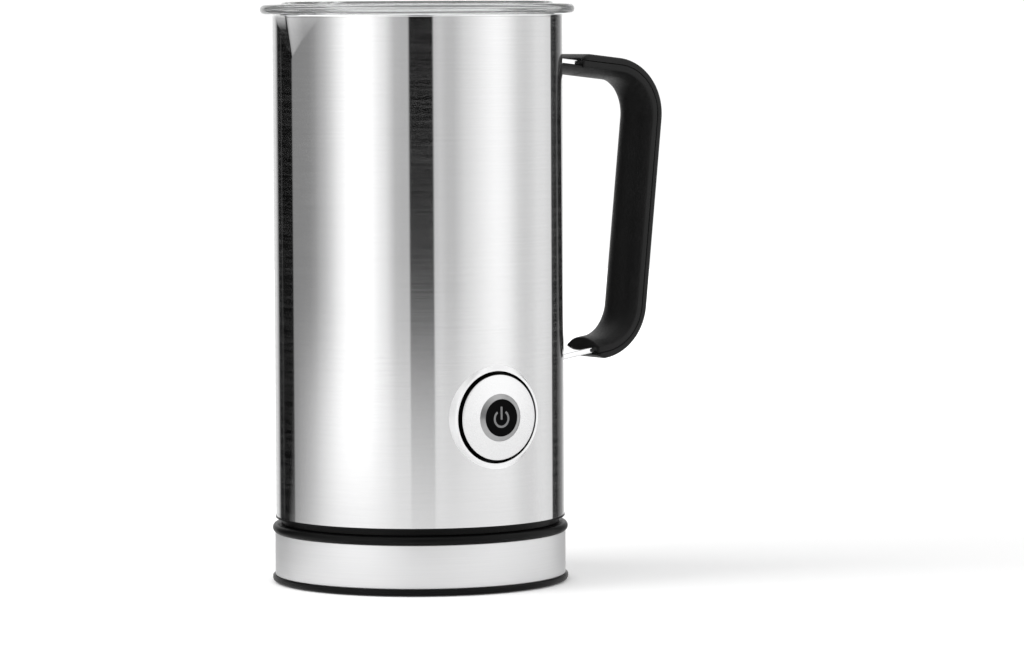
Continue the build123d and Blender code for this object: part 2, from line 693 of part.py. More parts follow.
def motor_end_cap():
    return turned(
        (BUSH_RADIUS, CAP_BOTTOM), (MOTOR_RADIUS, CAP_BOTTOM), (MOTOR_RADIUS, MOTOR_BOTTOM),
        (MOTOR_RADIUS - CAN_WALL, MOTOR_BOTTOM), (MOTOR_RADIUS - CAN_WALL, CAP_TOP), (BUSH_RADIUS, CAP_TOP),
    )


def motor_bush(bottom, top):
    return tube(SHAFT_RADIUS + SHAFT_CLEARANCE, BUSH_RADIUS, bottom, top)


def stator_magnets():
    ring = tube(9.9, MOTOR_RADIUS - CAN_WALL, 43.0, 57.0)
    sector = block((-20.0, -8.5, 42.0), (20.0, 8.5, 58.0))
    halves = ring & sector
    return [solid for solid in halves.solids()]


def motor_rotor():
    rotor = tube(SHAFT_RADIUS, 9.3, 44.0, 56.0)
    for angle in range(0, 360, 72):
        slot = Rot(0, 0, angle) * block((4.6, -1.0, 43.0), (10.0, 1.0, 57.0))
        rotor = rotor - slot
    return rotor


def motor_bracket():
    plate = disc(MOTOR_RADIUS + 3.0, MOTOR_TOP, MOTOR_TOP + BRACKET_THICKNESS)
    arm = block((0, -4.5, MOTOR_TOP), (STUD_CIRCLE, 4.5, MOTOR_TOP + BRACKET_THICKNESS))
    pad = disc(5.4, MOTOR_TOP, MOTOR_TOP + BRACKET_THICKNESS, x=STUD_CIRCLE)
    for angle in STUD_ANGLES:
        plate = plate + Rot(0, 0, angle) * (arm + pad)
    holes = around(disc(DAMPER_NECK, MOTOR_TOP - 1, MOTOR_TOP + 3, x=STUD_CIRCLE), STUD_ANGLES)
    holes += around(disc(MOTOR_SCREW_SHANK + 0.2, MOTOR_TOP - 1, MOTOR_TOP + 3, x=MOTOR_SCREW_X), (0, 180))
    return cut(plate - disc(BUSH_RADIUS + 0.6, MOTOR_TOP - 1, MOTOR_TOP + 3), holes)


def damper():
    """Rubber grommet between the bracket and a stud."""
    bottom = MOTOR_TOP - 2.0
    seat = MOTOR_TOP + BRACKET_THICKNESS
    ring = turned(
        (STUD_RADIUS, bottom), (DAMPER_RADIUS, bottom), (DAMPER_RADIUS, MOTOR_TOP), (DAMPER_NECK, MOTOR_TOP),
        (DAMPER_NECK, seat), (DAMPER_RADIUS, seat), (DAMPER_RADIUS, seat + 2.0), (STUD_RADIUS, seat + 2.0),
    )
    return Pos(STUD_CIRCLE, 0, 0) * ring


def bracket_stud():
    post = disc(STUD_RADIUS, MOTOR_TOP - 6.5, POT_UNDERSIDE, x=STUD_CIRCLE)
    shoulder = disc(3.4, MOTOR_TOP + BRACKET_THICKNESS + 2.0, POT_UNDERSIDE, x=STUD_CIRCLE)
    return post + shoulder


def bracket_nut():
    hexagon = extrude(RegularPolygon(NUT_RADIUS, 6), 3.0)
    return Pos(STUD_CIRCLE, 0, MOTOR_TOP - 5.0) * hexagon - disc(STUD_RADIUS, 50.0, 70.0, x=STUD_CIRCLE)


def motor_screw():
    seat = MOTOR_TOP + BRACKET_THICKNESS
    shank = disc(MOTOR_SCREW_SHANK, MOTOR_TOP - 3, seat, x=MOTOR_SCREW_X)
    return shank + disc(MOTOR_SCREW_HEAD, seat, seat + 1.4, x=MOTOR_SCREW_X)


def drive_magnet():
    return disc(MAGNET_RADIUS, CARRIER_TOP - 4.0, CARRIER_TOP, x=MAGNET_CIRCLE)


def magnet_carrier():
    body = turned(
        (SHAFT_RADIUS, CARRIER_BOTTOM - 1.6), (3.4, CARRIER_BOTTOM - 1.6), (3.4, CARRIER_BOTTOM),
        (CARRIER_RADIUS, CARRIER_BOTTOM), (CARRIER_RADIUS, CARRIER_TOP - 1.0),
        (CARRIER_RADIUS - 1.0, CARRIER_TOP), (SHAFT_RADIUS, CARRIER_TOP),
    )
    return cut(body, around(drive_magnet(), MAGNET_ANGLES))


def commutator():
    return tube(SHAFT_RADIUS, 2.8, 40.4, 44.0)


save("motor_can", motor_can())
save("motor_end_cap", motor_end_cap())
save("motor_bushes", motor_bush(CAP_BOTTOM, CAP_TOP), motor_bush(58.0, 61.0))
save("stator_magnets", *stator_magnets())
save("motor_bracket", motor_bracket())
save("motor_screws", *around(motor_screw(), (0, 180)))
save("rubber_dampers", *around(damper(), STUD_ANGLES))
save("bracket_studs", *around(bracket_stud(), STUD_ANGLES))
save("bracket_nuts", *around(bracket_nut(), STUD_ANGLES))
save("motor_shaft", disc(SHAFT_RADIUS, 35.4, CARRIER_TOP))
save("motor_rotor", motor_rotor())
save("commutator", commutator())
save("magnet_carrier", magnet_carrier())
save("drive_magnets", *around(drive_magnet(), MAGNET_ANGLES))

# ---------------------------------------------------------------- whisk

BUSH_OUTER = 2.6
HUB_BOTTOM = 77.6
HUB_TOP = 84.6


def whisk_bush():
    return tube(SPINDLE_RADIUS + 0.05, BUSH_OUTER, POT_FLOOR + 1.0, SPINDLE_TOP - 2.0)


def whisk_magnet():
    return disc(MAGNET_RADIUS, HUB_BOTTOM + 0.8, HUB_BOTTOM + 4.8, x=MAGNET_CIRCLE)


def whisk_hub():
    inner = BUSH_OUTER + 0.05
    body = turned(
        (inner, HUB_BOTTOM), (HUB_RADIUS - 0.8, HUB_BOTTOM), (HUB_RADIUS, HUB_BOTTOM + 0.8),
        (HUB_RADIUS, HUB_TOP - 2.2), ((HUB_RADIUS - 0.8, HUB_TOP - 0.8), (HUB_RADIUS - 2.2, HUB_TOP)),
        (4.6, HUB_TOP), (4.4, HUB_TOP + 4.0), ((4.0, HUB_TOP + 4.6), (3.4, HUB_TOP + 4.8)),
        (inner, HUB_TOP + 4.8),
    )
    return cut(body, around(whisk_magnet(), MAGNET_ANGLES))


def whisk_frame():
    """Wire ring and the three spokes that hold it to the hub."""
    frame = Pos(0, 0, WHISK_RING_Z) * Torus(WHISK_RING, WHISK_WIRE)
    length = WHISK_RING - HUB_RADIUS
    spoke = Pos(HUB_RADIUS + length / 2, 0, WHISK_RING_Z) * Rot(0, 90, 0) * Cylinder(WHISK_WIRE, length)
    for angle in (0, 120, 240):
        frame = frame + Rot(0, 0, angle) * spoke
    return frame - disc(HUB_RADIUS, HUB_BOTTOM, HUB_TOP)


def whisk_spring():
    turn = Pos(WHISK_RING, 0, WHISK_RING_Z) * Rot(90, 0, 0) * Torus(COIL_RADIUS, COIL_WIRE)
    step = 360 / COIL_TURNS
    return [Rot(0, 0, (index + 0.5) * step) * turn for index in range(COIL_TURNS)]


save("whisk_bush", whisk_bush())
save("whisk_hub", whisk_hub())
save("whisk_magnets", *around(whisk_magnet(), MAGNET_ANGLES))
save("whisk_frame", whisk_frame())
save("whisk_spring", *whisk_spring())
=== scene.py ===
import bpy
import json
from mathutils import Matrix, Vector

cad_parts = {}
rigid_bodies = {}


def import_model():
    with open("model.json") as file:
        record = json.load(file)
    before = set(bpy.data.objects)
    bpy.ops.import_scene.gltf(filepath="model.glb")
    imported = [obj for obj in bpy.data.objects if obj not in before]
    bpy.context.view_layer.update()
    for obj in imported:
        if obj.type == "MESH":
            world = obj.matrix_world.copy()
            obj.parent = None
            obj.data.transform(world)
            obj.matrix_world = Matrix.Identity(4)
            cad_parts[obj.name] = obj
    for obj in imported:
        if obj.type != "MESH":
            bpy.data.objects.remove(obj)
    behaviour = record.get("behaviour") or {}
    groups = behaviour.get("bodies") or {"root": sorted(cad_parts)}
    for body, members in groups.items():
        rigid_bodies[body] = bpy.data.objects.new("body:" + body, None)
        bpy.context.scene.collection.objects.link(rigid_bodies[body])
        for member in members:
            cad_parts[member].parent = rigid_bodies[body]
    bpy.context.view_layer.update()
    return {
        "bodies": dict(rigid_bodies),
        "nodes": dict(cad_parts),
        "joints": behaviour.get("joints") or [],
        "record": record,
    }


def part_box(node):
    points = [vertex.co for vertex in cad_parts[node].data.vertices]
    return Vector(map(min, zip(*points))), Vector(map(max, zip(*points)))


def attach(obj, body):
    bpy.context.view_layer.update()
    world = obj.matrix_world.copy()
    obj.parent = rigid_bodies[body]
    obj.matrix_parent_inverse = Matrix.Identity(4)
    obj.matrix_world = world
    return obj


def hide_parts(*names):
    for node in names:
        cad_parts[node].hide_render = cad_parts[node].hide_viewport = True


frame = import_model()

import json
from math import acos, atan2, cos, hypot, pi, radians, sin, sqrt, tan

import bmesh
import bpy
from mathutils import Matrix, Vector

# Shapes are worked out in millimetres, and finish_mesh() turns them into metres.
MM = 0.001
STEPS = 288

# ------------------------------------------------------------------ sizes, from the frame


def box_mm(node):
    low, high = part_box(node)
    return low / MM, high / MM


shell_low, shell_high = box_mm("jug_shell")
pot_low, pot_high = box_mm("jug_pot")
lid_low, lid_high = box_mm("lid_cover")
seal_low, seal_high = box_mm("lid_seal")
band_low, band_high = box_mm("base_band")
plate_low, plate_high = box_mm("button_plate")
lens_high = box_mm("button_lens")[1]
gland_low, gland_high = box_mm("cord_gland")
hub_low, hub_high = box_mm("whisk_hub")
wire_low, wire_high = box_mm("whisk_frame")
coil_low, coil_high = box_mm("whisk_spring")
spindle_high = box_mm("pot_spindle")[1]

WALL_RADIUS = shell_high.y
WALL_BOTTOM = shell_low.z
WALL_TOP = shell_high.z
WALL = 0.8
LIP_REACH = -shell_low.x - WALL_RADIUS
LIP_HALF = radians(17.2)
LIP_DEPTH = 13.6
LIP_APEX = WALL_TOP - LIP_DEPTH
LIP_FROM = 47.0
BUTTON_Z = (plate_low.z + plate_high.z) / 2
BUTTON_RADIUS = plate_high.x
HOLE_RADIUS = BUTTON_RADIUS + 1.15
LENS_RADIUS = lens_high.x

# corners of the handle's outer face as (x, z), and the layers inward from it
HANDLE_CORNERS = ((46.0, 180.08), (96.04, 174.45), (85.74, 75.3), (46.0, 69.05))
HANDLE_BEND = 19.5
GRIP_HALF = 10.0
GRIP_COVER = 2.4
GRIP_SIDE = 4.6
GRIP_BELLY = 7.6
STRAP_HALF = 7.0
STRAP_OUTER = 2.5
STRAP_INNER = 4.4
GRIP_TOP_X = 61.1
GRIP_LOW_X = 67.1
GRIP_TAPER = 3.0
PAD_TOP_X = 51.0

# the pot's well, its shoulder and its sheet
POT_WELL = 39.1
POT_SHOULDER_LOW = 166.0
POT_SHOULDER_HIGH = 174.0
POT_FLOOR = 0.8

# the lid's flange, plug, raised ring and bar
FLANGE_BOTTOM = 192.0
FLANGE_TOP = 195.3
LID_FLOOR = 193.8
PLUG_RADIUS = 46.0
PLUG_INNER = 44.2
SEAL_GROOVE = 0.8
RAISED_OUTER = 45.5
RAISED_INNER = 38.2
BAR_REACH = 38.0
BAR_ROOT = 193.2

# ------------------------------------------------------------------ material helpers


def new_material(name):
    material = bpy.data.materials.new(name)
    material.use_nodes = True
    tree = material.node_tree
    return material, tree, tree.nodes["Principled BSDF"]


def add(tree, kind, **settings):
    node = tree.nodes.new(kind)
    for key, value in settings.items():
        setattr(node, key, value)
    return node


def join(tree, source, target):
    tree.links.new(source, target)


def stretched_noise(tree, scale, detail=3.0, roughness=0.6):
    """Noise in the piece's own space, with its own scale along each axis."""
    place = add(tree, "ShaderNodeTexCoord")
    mapping = add(tree, "ShaderNodeMapping")
    mapping.inputs["Scale"].default_value = scale
    noise = add(tree, "ShaderNodeTexNoise")
    noise.inputs["Scale"].default_value = 1.0
    noise.inputs["Detail"].default_value = detail
    noise.inputs["Roughness"].default_value = roughness
    join(tree, place.outputs["Object"], mapping.inputs["Vector"])
    join(tree, mapping.outputs["Vector"], noise.inputs["Vector"])
    return noise.outputs["Fac"]


def spread(tree, value, low, high):
    """Map the middle of a noise value onto a range."""
    node = add(tree, "ShaderNodeMapRange")
    node.inputs["From Min"].default_value = 0.3
    node.inputs["From Max"].default_value = 0.7
    node.inputs["To Min"].default_value = low
    node.inputs["To Max"].default_value = high
    join(tree, value, node.inputs["Value"])
    return node.outputs["Result"]


def tint(tree, value, dark, light):
    ramp = add(tree, "ShaderNodeValToRGB")
    ramp.color_ramp.elements[0].position = 0.3
    ramp.color_ramp.elements[0].color = (*dark, 1)
    ramp.color_ramp.elements[1].position = 0.7
    ramp.color_ramp.elements[1].color = (*light, 1)
    join(tree, value, ramp.inputs["Fac"])
    return ramp.outputs["Color"]


def bump(tree, shader, value, distance):
    node = add(tree, "ShaderNodeBump")
    node.inputs["Strength"].default_value = 1.0
    node.inputs["Distance"].default_value = distance
    join(tree, value, node.inputs["Height"])
    join(tree, node.outputs["Normal"], shader.inputs["Normal"])


def grey(level):
    return (level, level, level * 1.005)


def metal(name, dark, light, rough, grain, depth, anisotropy=0.0, haze=0.0, metallic=1.0):
    """Metal with a grain: the noise scale along each axis, large across the lines."""
    material, tree, shader = new_material(name)
    shader.inputs["Metallic"].default_value = metallic
    lines = stretched_noise(tree, grain, detail=4.0, roughness=0.7)
    join(tree, tint(tree, lines, dark, light), shader.inputs["Base Color"])
    join(tree, spread(tree, lines, *rough), shader.inputs["Roughness"])
    bump(tree, shader, lines, depth)
    if haze:
        streaks = stretched_noise(tree, (70, 70, 1300), detail=2.0, roughness=0.5)
        join(tree, spread(tree, streaks, 0.0, haze), shader.inputs["Coat Weight"])
        shader.inputs["Coat Roughness"].default_value = 0.5
    if anisotropy:
        direction = add(tree, "ShaderNodeTangent", direction_type="RADIAL", axis="Z")
        join(tree, direction.outputs["Tangent"], shader.inputs["Tangent"])
        shader.inputs["Anisotropic"].default_value = anisotropy
        shader.inputs["Anisotropic Rotation"].default_value = 0.25
    return material


def moulded(name, dark, light, rough, grain, depth, shine=0.5):
    """Moulded plastic or rubber with a fine surface texture and a slight change of colour."""
    material, tree, shader = new_material(name)
    shader.inputs["Specular IOR Level"].default_value = shine
    fine = stretched_noise(tree, (grain, grain, grain), detail=2.0)
    broad = stretched_noise(tree, (60, 60, 60), detail=2.0)
    join(tree, tint(tree, broad, dark, light), shader.inputs["Base Color"])
    join(tree, spread(tree, fine, *rough), shader.inputs["Roughness"])
    bump(tree, shader, fine, depth)
    return material


def clear(name, tone, rough, clarity=1.0):
    material, tree, shader = new_material(name)
    ripple = stretched_noise(tree, (45, 45, 45), detail=1.0)
    shader.inputs["Base Color"].default_value = (*tone, 1)
    shader.inputs["Transmission Weight"].default_value = clarity
    shader.inputs["IOR"].default_value = 1.49
    join(tree, spread(tree, ripple, *rough), shader.inputs["Roughness"])
    bump(tree, shader, ripple, 0.00002)
    return material


STEEL = metal("wall_steel", grey(0.60), grey(0.635), (0.07, 0.10), (26, 26, 4200), 0.0000005, 0.9, 0.9)
BAND_STEEL = metal("band_steel", grey(0.66), grey(0.71), (0.46, 0.54), (26, 26, 4200), 0.0000004,
                   metallic=0.75)
# Painted highlight: a lighter copy of the wall steel on the collar round the button opening, for its
# bright halo.
COLLAR_HIGHLIGHT_STEEL = metal("collar_steel_painted_highlight", grey(0.74), grey(0.78), (0.40, 0.46), (60, 60, 2600), 0.0000004)
POT_STEEL = metal("pot_steel", grey(0.55), grey(0.68), (0.16, 0.26), (30, 30, 3000), 0.000002)
# Painted highlight: a lighter, smoother copy of the pot steel for the bright line along the rolled bead.
RIM_HIGHLIGHT_STEEL = metal("rim_steel_painted_highlight", grey(0.74), grey(0.82), (0.10, 0.16), (60, 60, 60), 0.000001)
STRAP_STEEL = metal("strap_steel", grey(0.70), grey(0.80), (0.06, 0.12), (300, 300, 300), 0.000001)
PLATE_STEEL = metal("plate_steel", grey(0.68), grey(0.705), (0.26, 0.31), (1800, 60, 1800), 0.0000004)
# Painted shade: a darker copy of the plate steel stands for the bevel's dark reflections.
BEVEL_SHADE_STEEL = metal("bevel_steel_painted_shade", grey(0.33), grey(0.37), (0.27, 0.33), (900, 900, 900), 0.0000004)
WIRE_STEEL = metal("wire_steel", grey(0.60), grey(0.75), (0.12, 0.22), (900, 900, 900), 0.000001)
ZINC = metal("zinc_steel", grey(0.40), grey(0.56), (0.25, 0.42), (260, 260, 260), 0.000004)
ALUMINIUM = metal("cast_aluminium", grey(0.56), grey(0.70), (0.35, 0.55), (420, 420, 420), 0.000008)
BRASS = metal("contact_brass", (0.55, 0.38, 0.14), (0.74, 0.54, 0.24), (0.18, 0.34), (400, 400, 400),
              0.000002)
IRON = metal("sintered_iron", grey(0.12), grey(0.22), (0.40, 0.60), (700, 700, 700), 0.000006)
BLACK = moulded("black_plastic", grey(0.0015), grey(0.003), (0.30, 0.42), 2600, 0.000004, 0.10)
GRIP = moulded("soft_grip", grey(0.0006), grey(0.003), (0.38, 0.58), 1900, 0.000050, 0.25)
RUBBER = moulded("foot_rubber", grey(0.005), grey(0.010), (0.60, 0.80), 1800, 0.000008, 0.2)
SILICONE = moulded("seal_silicone", grey(0.45), grey(0.58), (0.35, 0.50), 900, 0.000003)
LENS = moulded("lens_black", grey(0.0010), grey(0.0018), (0.10, 0.16), 900, 0.0000005, 0.03)
PRINT = moulded("symbol_print", grey(0.15), grey(0.19), (0.35, 0.50), 3000, 0.000001)
BOARD = moulded("board_green", (0.010, 0.060, 0.025), (0.016, 0.085, 0.035), (0.25, 0.40), 1500,
                0.000002)
PART = moulded("component_black", grey(0.012), grey(0.022), (0.30, 0.50), 1600, 0.000003)
CLEAR = clear("clear_lid", (0.965, 0.975, 0.975), (0.005, 0.03), 0.93)
GUIDE = clear("clear_guide", (0.95, 0.95, 0.95), (0.02, 0.08))

# ------------------------------------------------------------------ mesh helpers


def corner_arc(before, corner, after, radius, steps):
    """Points of the arc that rounds a corner between two neighbours."""
    corner = Vector(corner)
    first = Vector(before) - corner
    second = Vector(after) - corner
    a = first.normalized()
    b = second.normalized()
    angle = acos(max(-1.0, min(1.0, a.dot(b))))
    reach = min(radius / tan(angle / 2), 0.98 * first.length, 0.98 * second.length)
    radius = reach * tan(angle / 2)
    centre = corner + (a + b).normalized() * (radius / sin(angle / 2))
    start = corner + a * reach - centre
    end = corner + b * reach - centre
    turn = atan2(start.x * end.y - start.y * end.x, start.dot(end))
    points = []
    for step in range(steps + 1):
        share = turn * step / steps
        points.append((centre.x + start.x * cos(share) - start.y * sin(share),
                       centre.y + start.x * sin(share) + start.y * cos(share)))
    return points


def rounded(corners, steps=6):
    """Closed outline from (x, y, radius) corners."""
    points = []
    for index, (x, y, radius) in enumerate(corners):
        if radius <= 0:
            points.append((x, y))
            continue
        before = corners[index - 1][:2]
        after = corners[(index + 1) % len(corners)][:2]
        points += corner_arc(before, (x, y), after, radius, steps)
    return points


def finish_mesh(name, shape, material, body, replaced=(), sharp=35):
    """Turn a bmesh in millimetres into a smooth piece in metres that rides on a body."""
    bmesh.ops.scale(shape, vec=(MM, MM, MM), verts=shape.verts)
    bmesh.ops.recalc_face_normals(shape, faces=shape.faces)
    mesh = bpy.data.meshes.new(name)
    shape.to_mesh(mesh)
    shape.free()
    mesh.polygons.foreach_set("use_smooth", [True] * len(mesh.polygons))
    mesh.set_sharp_from_angle(angle=radians(sharp))
    mesh.materials.append(material)
    piece = bpy.data.objects.new(name, mesh)
    bpy.context.scene.collection.objects.link(piece)
    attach(piece, body)
    if replaced:
        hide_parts(*replaced)
    return piece


def skin(shape, rows, closed=True, wrap=True):
    """Faces between rows of vertices: closed joins the last row to the first, wrap closes each row."""
    count = len(rows[0])
    for index in range(len(rows) if closed else len(rows) - 1):
        here = rows[index]
        there = rows[(index + 1) % len(rows)]
        for place in range(count if wrap else count - 1):
            after = (place + 1) % count
            shape.faces.new((here[place], here[after], there[after], there[place]))


def new_rows(shape, loops):
    return [[shape.verts.new(point) for point in loop] for loop in loops]


def turned_loops(profile, steps, reach=None):
    """A profile of (radius, height) points turned about Z, one loop per step."""
    loops = []
    for step in range(steps):
        angle = 2 * pi * step / steps
        loop = []
        for radius, height in profile:
            length = reach(angle, radius, height) if reach else radius
            loop.append(Vector((length * cos(angle), length * sin(angle), height)))
        loops.append(loop)
    return loops


def ring_shape(profile, steps=STEPS, reach=None, place=None):
    """Ring of revolution from a closed profile that stays off the axis."""
    shape = bmesh.new()
    skin(shape, new_rows(shape, turned_loops(profile, steps, reach)))
    if place is not None:
        bmesh.ops.transform(shape, matrix=place, verts=shape.verts)
    return shape


def solid_shape(profile, steps=STEPS, place=None):
    """Solid of revolution from an open profile that starts and ends on the axis."""
    shape = bmesh.new()
    rows = new_rows(shape, turned_loops(profile[1:-1], steps))
    skin(shape, rows, wrap=False)
    for height, end in ((profile[0][1], 0), (profile[-1][1], -1)):
        tip = shape.verts.new((0, 0, height))
        for index in range(steps):
            shape.faces.new((rows[index][end], rows[(index + 1) % steps][end], tip))
    if place is not None:
        bmesh.ops.transform(shape, matrix=place, verts=shape.verts)
    return shape


def facing_front(y, z=BUTTON_Z):
    """Places a turned shape so that its axis points to -Y, with height 0 at this Y."""
    return Matrix.Translation((0, y, z)) @ Matrix.Rotation(radians(90), 4, "X")


def facing_back(y, z):
    return Matrix.Translation((0, y, z)) @ Matrix.Rotation(radians(-90), 4, "X")


def sweep(shape, frames, section, closed=False):
    """Skin a section along frames; the section is (across, out) points, or a function of the depth."""
    loops = []
    for point, across, out, depth in frames:
        corners = section(depth) if callable(section) else section
        loops.append([point + across * x + out * y for x, y in corners])
    rows = new_rows(shape, loops)
    skin(shape, rows, closed=closed)
    if not closed:
        shape.faces.new(list(reversed(rows[0])))
        shape.faces.new(rows[-1])


# ------------------------------------------------------------------ jug wall and pouring lip

WALL_COLUMNS = 720
PATCH_HALF_COLUMNS = 48
PATCH_HALF_HEIGHT = 20.5
PATCH_ROWS = 24
COLLAR_Y = -48.8
COLLAR_FLAT = 0.8
COLLAR_WIDTH = 1.8
RING_SHARES = (0.2, 0.4, 0.6, 0.8)
RING_EDGES = (1.86, 1.8, 1.74, 1.4, 1.1, 0.86, 0.78, 0.4, 0.0)


def lip_reach(angle, radius, height):
    """Radius of a wall at an angle and height, with the folded pouring lip at -X."""
    share = max(0.0, (height - LIP_APEX) / LIP_DEPTH)
    half = LIP_HALF * share
    away = abs(angle - pi)
    if radius < LIP_FROM or away >= half:
        return radius
    away = sqrt(away * away + 0.008 ** 2)
    tip = radius + LIP_REACH * share
    side_x = radius * cos(half)
    side_y = radius * sin(half)
    return max(radius, side_y * tip / (side_y * cos(away) + (tip - side_x) * sin(away)))


def collar_share(distance):
    """1 on the flat collar round the button opening and 0 on the round wall, by distance from the edge."""
    share = (COLLAR_WIDTH - distance) / (COLLAR_WIDTH - COLLAR_FLAT)
    return max(0.0, min(1.0, share))


def wall_heights():
    low = BUTTON_Z - PATCH_HALF_HEIGHT
    high = BUTTON_Z + PATCH_HALF_HEIGHT
    start = LIP_APEX - 2
    heights = [WALL_BOTTOM, WALL_BOTTOM + 0.3, WALL_BOTTOM + 5]
    heights += [low + (high - low) * row / PATCH_ROWS for row in range(PATCH_ROWS + 1)]
    heights += [high + (start - high) * row / 12 for row in range(1, 13)]
    heights += [start + (WALL_TOP - start) * row / 32 for row in range(1, 33)]
    return heights


def wall_side(shape, radius):
    """One side of the jug's wall with the round button opening: its bottom, top and hole loops."""
    front = 270 * WALL_COLUMNS // 360
    first = front - PATCH_HALF_COLUMNS
    last = front + PATCH_HALF_COLUMNS
    low_row = 3
    high_row = low_row + PATCH_ROWS
    heights = wall_heights()
    grid = {}
    for row, height in enumerate(heights):
        for column in range(WALL_COLUMNS):
            if first < column < last and low_row < row < high_row:
                continue
            angle = 2 * pi * column / WALL_COLUMNS
            reach = lip_reach(angle, radius, height)
            grid[row, column] = shape.verts.new((reach * cos(angle), reach * sin(angle), height))
    for row in range(len(heights) - 1):
        for column in range(WALL_COLUMNS):
            if low_row <= row < high_row and first <= column < last:
                continue
            after = (column + 1) % WALL_COLUMNS
            corners = (row, column), (row, after), (row + 1, after), (row + 1, column)
            shape.faces.new([grid[corner] for corner in corners])
    border = [grid[low_row, column] for column in range(first, last)]
    border += [grid[row, last] for row in range(low_row, high_row)]
    border += [grid[high_row, column] for column in range(last, first, -1)]
    border += [grid[row, first] for row in range(high_row, low_row, -1)]
    rows = [border]
    for share in RING_SHARES:
        rows.append([shape.verts.new(toward_hole(vert.co, radius, share=share)) for vert in border])
    for distance in RING_EDGES:
        rows.append([shape.verts.new(toward_hole(vert.co, radius, left=distance)) for vert in border])
    skin(shape, rows, closed=False)
    top = [grid[len(heights) - 1, column] for column in range(WALL_COLUMNS)]
    return [grid[0, column] for column in range(WALL_COLUMNS)], top, rows[-1]


def toward_hole(point, radius, share=0.0, left=None):
    """A point on the way, along the wall, from the patch's border to the edge of the button opening.

    The place is a share of the way to the collar's outer edge, or what is left to the opening.
    """
    arc = (atan2(point.y, point.x) + pi / 2) * radius
    rise = point.z - BUTTON_Z
    length = hypot(arc, rise)
    edge_x = HOLE_RADIUS * arc / length
    edge_arc = radius * atan2(edge_x, sqrt(radius * radius - edge_x * edge_x))
    edge_rise = HOLE_RADIUS * rise / length
    way = hypot(arc - edge_arc, rise - edge_rise)
    share = share * (1 - RING_EDGES[0] / way) if left is None else 1 - left / way
    here = arc + (edge_arc - arc) * share
    level = rise + (edge_rise - rise) * share
    angle = here / radius - pi / 2
    x = radius * cos(angle)
    y = radius * sin(angle)
    flat = COLLAR_Y + WALL_RADIUS - radius
    lift = 0.0 if left is None else collar_share(left)
    return (x, y + (flat - y) * lift, BUTTON_Z + level)


def jug_wall():
    shape = bmesh.new()
    outside = wall_side(shape, WALL_RADIUS)
    inside = wall_side(shape, WALL_RADIUS - WALL)
    for outer_loop, inner_loop in zip(outside, inside):
        skin(shape, [outer_loop, inner_loop], closed=False)
    piece = finish_mesh("wall_sheet", shape, STEEL, "jug", ["jug_shell"])
    # The collar's faces take the lighter steel, a painted highlight for the bright halo round the opening.
    piece.data.materials.append(COLLAR_HIGHLIGHT_STEEL)
    for polygon in piece.data.polygons:
        centre = polygon.center / MM
        if centre.y < 0 and hypot(centre.x, centre.z - BUTTON_Z) < HOLE_RADIUS + COLLAR_WIDTH:
            polygon.material_index = 1


def pot():
    """Inner pot with its well, shoulder, collar and the bead that rolls over the wall."""
    rim = pot_high.z
    bead = pot_high.y
    collar = bead - 1.0
    inner = collar - 0.6
    inside = POT_WELL - 0.6
    floor = pot_low.z
    deck = floor + POT_FLOOR
    profile = rounded([
        (4, floor, 0), (POT_WELL, floor, 4), (POT_WELL, POT_SHOULDER_LOW, 3),
        (collar, POT_SHOULDER_HIGH, 3), (collar, WALL_TOP, 0.1),
        (bead, WALL_TOP, 0.25), (bead, rim, 0.38), (inner, rim, 0.38),
        (inner, POT_SHOULDER_HIGH + 0.3, 3), (inside, POT_SHOULDER_LOW + 0.3, 3), (inside, deck, 3.6),
        (4, deck, 0),
    ], steps=8)
    shape = ring_shape(profile, steps=480, reach=lip_reach)
    piece = finish_mesh("pot_sheet", shape, POT_STEEL, "jug", ["jug_pot"])
    # The bead above the wall's top takes the lighter steel, a painted highlight.
    piece.data.materials.append(RIM_HIGHLIGHT_STEEL)
    for polygon in piece.data.polygons:
        if polygon.center.z > (WALL_TOP - 0.2) * MM:
            polygon.material_index = 1
    centre = solid_shape([(0, floor), (4.1, floor), (4.1, deck), (0, deck)], steps=96)
    finish_mesh("pot_floor_centre", centre, POT_STEEL, "jug")
    tip = spindle_high.z
    spindle = rounded([
        (0, deck, 0), (3, deck, 0), (3, floor + 1.6, 0.3), (1.5, floor + 1.8, 0.3),
        (1.5, tip, 0.7), (0, tip, 0),
    ])
    finish_mesh("spindle_pin", solid_shape(spindle, steps=64), WIRE_STEEL, "jug", ["pot_spindle"])


# ------------------------------------------------------------------ base


def base():
    band = band_high.y
    profile = rounded([
        (band - 0.6, band_low.z, 0.1), (band, band_low.z, 0.25), (band, band_high.z, 0.25),
        (band - 0.6, band_high.z, 0.1),
    ])
    finish_mesh("steel_band", ring_shape(profile, steps=480), BAND_STEEL, "power_base", ["base_band"])


# ------------------------------------------------------------------ lid


